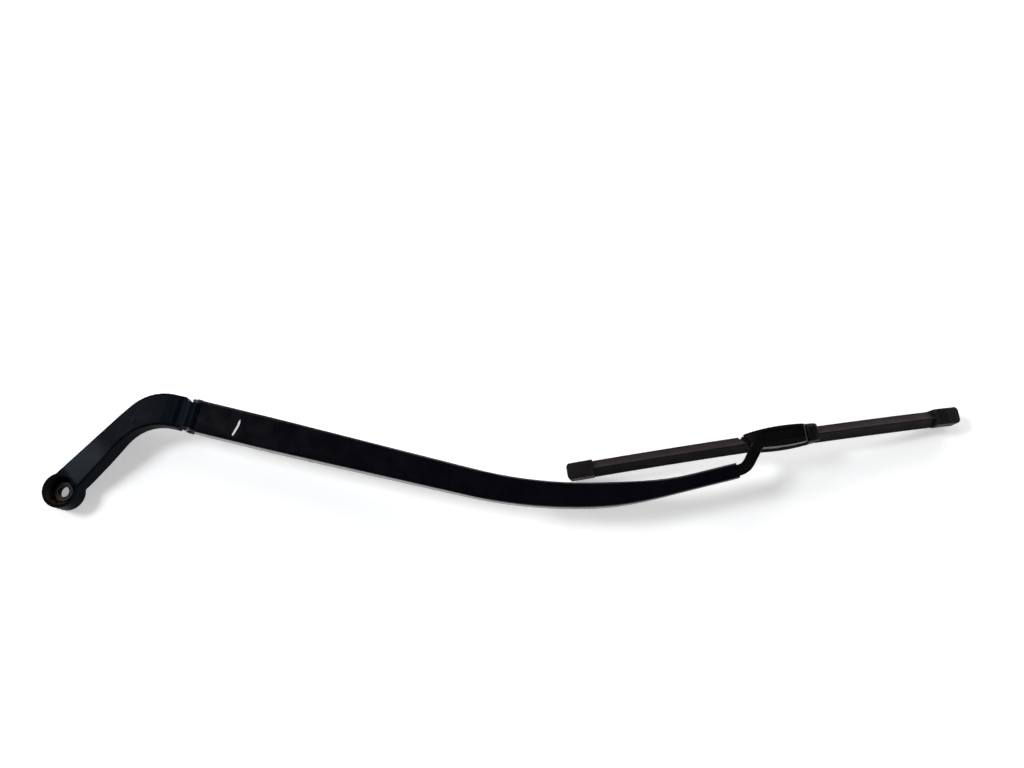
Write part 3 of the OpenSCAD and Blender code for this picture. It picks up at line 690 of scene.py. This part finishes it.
def squareBlock(place):
    look = blockShape
    if place.x < look["start"] or place.z < look["foot"]:
        return
    side = next((half for at, half in look["sides"] if place.x <= at + look["sideReach"]),
                look["sides"][-1][1])
    place.y *= 1 + look["squared"] * (look["side"] / side - 1)
    if place.y > 0:
        place.y *= look["farScale"]


# Each call gives the piece, its node and body, its finish and how far its edges are rounded
head = dress("headCasting", "mounting_head", "head", castPaint, 0.5 * mm)
dress("bushNear", "hinge_bush_near", "head", greasedMetal, 0.15 * mm)
dress("bushFar", "hinge_bush_far", "head", greasedMetal, 0.15 * mm)
dress("hingePin", "hinge_pin", "arm", greasedMetal, 0.3 * mm)
dress("frontHookPin", "spring_front_pin", "head", greasedMetal, 0.3 * mm)
dress("rearHookPin", "spring_rear_pin", "arm", greasedMetal, 0.3 * mm)
channel = dress("channel", "retainer", "arm", sheetPaint, 0.35 * mm, sharp=32)
dress("flatBar", "arm_rod", "arm", rodPaint, 0.25 * mm, sharp=50)
dress("adapter", "adapter_body", "arm", adapterPlastic, 0.3 * mm)
dress("releaseButton", "release_button", "button", adapterPlastic, 0.2 * mm)
dress("bladeBase", "blade_base", "blade", basePlastic, 0.3 * mm,
      reshape=lambda mesh: movedOnBlade(mesh, squareBlock))
dress("pivotPin", "blade_pivot_pin", "blade", greasedMetal, 0.3 * mm)
dress("railNear", "rail_near", "blade", pinSteel, 0.15 * mm)
dress("railFar", "rail_far", "blade", pinSteel, 0.15 * mm)
dress("squeegee", "wiper_rubber", "blade", squeegeeRubber, 0.1 * mm)
dress("spoilerInner", "spoiler_inner", "blade", spoilerRubber, 0.8 * mm,
      reshape=lambda mesh: movedOnBlade(mesh, reachInner))
dress("spoilerOuter", "spoiler_outer", "blade", spoilerRubber, 0.8 * mm,
      reshape=lambda mesh: movedOnBlade(mesh, reachOuter))

# The end caps have crowned outer ends, and rounded edges
capShape = {
    "cuts": (-6.0, -4.2, 4.2, 6.0),
    "flat": 4.2,
    "crown": 0.27,
    "crownBeyond": {1: 152, -1: 176},
    "edge": 0.7 * mm,
    "sharp": 12,
}


def roundedCap(name, nodeName, outwards):
    mesh = mergedCopy(nodeName)
    for across in capShape["cuts"]:
        parts = mesh.verts[:] + mesh.edges[:] + mesh.faces[:]
        bmesh.ops.bisect_plane(mesh, geom=parts, plane_co=bladeFrame @ Vector((0, across * mm, 0)),
                               plane_no=bladeAcross, dist=fineDistance)

    def crown(place):
        if place.x * outwards > capShape["crownBeyond"][outwards]:
            past = max(0, abs(place.y) - capShape["flat"])
            place.x -= outwards * capShape["crown"] * past ** 2

    movedOnBlade(mesh, crown)
    roundEdges(mesh, edgesOver(mesh, capShape["sharp"]), capShape["edge"])
    piece = addPiece(name, mesh, capPlastic)
    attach(piece, "blade")
    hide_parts(nodeName)


roundedCap("endCapInner", "end_cap_inner", -1)
roundedCap("endCapOuter", "end_cap_outer", 1)
print("solids dressed")

# The spring is wound again as a round wire, from the front hook pin to the rear one. Its sizes
# are in millimetres, and its places lie along the arm and up from the hinge pin
springShape = {
    "frontPin": (3.0, -9.5),
    "rearPin": (104.0, -3.5),
    "wire": 2.2,
    "coilWidth": 9.2,
    "coils": 20,
    "pitch": 2.65,
    "lift": 5.0,
    "towardsRear": 10,
    "runIn": 4,
    "runInDrop": 0.5,
    "hookRadius": 3.0,
    "frontHook": (45, 270),
    "rearHook": (270, 495),
    "hookPoints": 12,
    "frontShankPoints": 30,
    "rearShankPoints": 6,
    "pointsPerTurn": 20,
    "sharp": 60,
    "bendFrom": (4, -9),
    "bendTo": (16, -8.5),
}


def springPath(shape):
    # Points along the wire in millimetres, x from the front pin to the rear one
    front, rear = Vector(shape["frontPin"]), Vector(shape["rearPin"])
    span = (rear - front).length
    radius = shape["coilWidth"] / 2
    coilLength = shape["coils"] * shape["pitch"]
    start = (span - coilLength) / 2 + shape["towardsRear"]
    low = shape["lift"] - radius - shape["runInDrop"]
    hook = shape["hookRadius"]

    def around(centre, first, last):
        steps = shape["hookPoints"]
        angles = [math.radians(first + (last - first) * i / steps) for i in range(steps + 1)]
        return [Vector((centre + hook * math.cos(a), 0, hook * math.sin(a))) for a in angles]

    def straight(a, b, steps):
        return [a.lerp(b, i / steps) for i in range(1, steps)]

    turns = shape["coils"] * shape["pointsPerTurn"]
    coil = []
    for i in range(turns + 1):
        angle = 2 * math.pi * i / shape["pointsPerTurn"]
        coil.append(Vector((start + coilLength * i / turns, radius * math.sin(angle),
                            shape["lift"] - radius * math.cos(angle))))
    before = Vector((start - shape["runIn"], 0, low))
    after = Vector((start + coilLength + shape["runIn"], 0, low))
    frontHook, rearHook = around(0, *shape["frontHook"]), around(span, *shape["rearHook"])
    return (frontHook + straight(frontHook[-1], before, shape["frontShankPoints"]) + [before]
            + coil + [after] + straight(after, rearHook[0], shape["rearShankPoints"]) + rearHook)


def windSpring(shape):
    points = springPath(shape)
    curve = bpy.data.curves.new("spring wire", "CURVE")
    curve.dimensions = "3D"
    curve.bevel_depth = shape["wire"] / 2 * mm
    curve.bevel_resolution = 3
    curve.use_fill_caps = True
    spline = curve.splines.new("POLY")
    spline.points.add(len(points) - 1)
    for point, place in zip(spline.points, points):
        point.co = (*(place * mm), 1)
    wound = bpy.data.objects.new("spring wire", curve)
    bpy.context.scene.collection.objects.link(wound)
    bpy.context.view_layer.update()
    mesh = bmesh.new()
    mesh.from_mesh(bpy.data.meshes.new_from_object(wound))
    bpy.data.objects.remove(wound)
    front, rear = Vector(shape["frontPin"]), Vector(shape["rearPin"])
    lean = math.atan2(rear.y - front.y, rear.x - front.x)
    seat = (Matrix.Translation((front.x * mm, 0, front.y * mm))
            @ Matrix.Rotation(-lean, 4, "Y"))
    bmesh.ops.transform(mesh, matrix=armFrame @ seat, verts=mesh.verts)
    bmesh.ops.remove_doubles(mesh, verts=mesh.verts, dist=fineDistance)
    piece = addPiece("springWire", mesh, springSteel, shape["sharp"])
    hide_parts("tension_spring")
    # The front hook stays on the head's pin, and the shank bends up to the coils with the arm
    start, end = (armFrame @ Vector((x * mm, 0, z * mm))
                  for x, z in (shape["bendFrom"], shape["bendTo"]))
    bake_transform(piece, "head", "arm", tuple(start), tuple(end))


windSpring(springShape)
print("spring wound")

# A short plain dash of paint on the channel, as a breaker's yard leaves
dashShape = {
    "from": (0.1531, 0.0565),
    "to": (0.1478, 0.0428),
    "width": 1.7 * mm,
    "thickness": 0.05 * mm,
    "sunk": 0.02 * mm,
    "steps": (14, 4),
    "endPower": 7,
    "endWidth": 0.03,
    "sway": 0.45 * mm,
    "swayTurn": 4.6,
}


def paintDash(shape):
    start, end = Vector(shape["from"]), Vector(shape["to"])
    along = end - start
    across = Vector((-along.y, along.x)).normalized()
    mesh = bmesh.new()
    bmesh.ops.create_grid(mesh, x_segments=shape["steps"][0], y_segments=shape["steps"][1],
                          size=0.5)
    for vert in mesh.verts:
        place = vert.co.x + 0.5
        # Round ends, and a hand's slight sway
        rounding = 1 - abs(2 * place - 1) ** shape["endPower"]
        rounding = math.sqrt(max(shape["endWidth"], rounding))
        aside = (vert.co.y * shape["width"] * rounding
                 + shape["sway"] * math.sin(place * shape["swayTurn"]))
        spot = start + along * place + across * aside
        vert.co = (spot.x, spot.y, topOf(channel, spot.x, spot.y) - shape["sunk"])
    made = bmesh.ops.extrude_face_region(mesh, geom=mesh.faces[:])
    raised = [part for part in made["geom"] if isinstance(part, bmesh.types.BMVert)]
    bmesh.ops.translate(mesh, verts=raised, vec=(0, 0, shape["thickness"]))
    bmesh.ops.recalc_face_normals(mesh, faces=mesh.faces)
    piece = addPiece("paintDash", mesh, whiteMark)
    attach(piece, "arm")


paintDash(dashShape)

# Two small marks that the casting's gate left on the crest
pipShape = {
    "places": ((0.0628, 0.0583), (0.0619, 0.0561)),
    "length": 2.6 * mm,
    "width": 1.0 * mm,
    "height": 0.35 * mm,
    "rings": (16, 10),
}


def castPips(shape):
    mesh = bmesh.new()
    size = Matrix.Diagonal((shape["width"] / 2, shape["length"] / 2, shape["height"], 1))
    for x, y in shape["places"]:
        place = Matrix.Translation((x, y, topOf(head, x, y)))
        bmesh.ops.create_uvsphere(mesh, u_segments=shape["rings"][0],
                                  v_segments=shape["rings"][1], radius=1, matrix=place @ size)
    piece = addPiece("castPips", mesh, castPaint)
    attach(piece, "head")


castPips(pipShape)
print("pieces ready")
